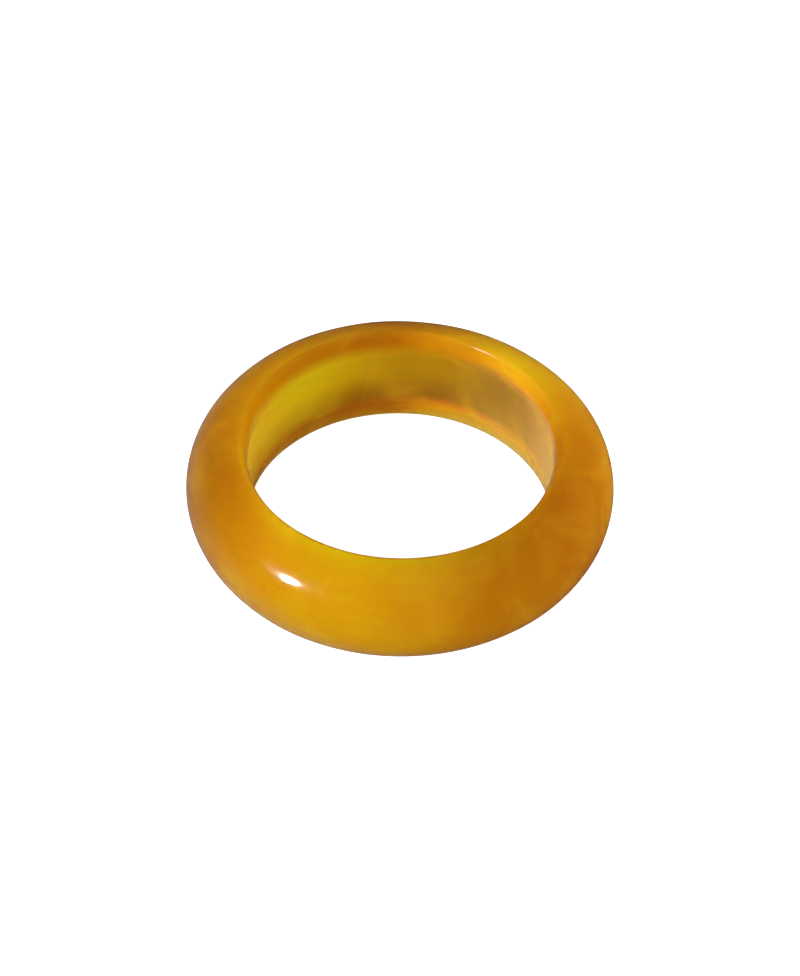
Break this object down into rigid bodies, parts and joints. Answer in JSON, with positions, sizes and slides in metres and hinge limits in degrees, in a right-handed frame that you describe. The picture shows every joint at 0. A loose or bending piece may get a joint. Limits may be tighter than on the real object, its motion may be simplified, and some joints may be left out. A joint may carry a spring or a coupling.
{
  "type": "finger ring",
  "caption": "Plain domed band ring for a finger, cut from one piece of translucent honey-yellow stone and polished all over.",
  "frame": {"origin": "centre of the ring, on the bore's axis at the middle of the band", "axes": "+Z along the bore's axis; the band is round, so X and Y are any two directions across it"},
  "size_m": [0.0256, 0.0256, 0.007],
  "materials": {
    "honey_stone": "polished, translucent, cloudy"
  },
  "bodies": {
    "root": {"ring": "honey_stone"}
  },
  "joints": []
}
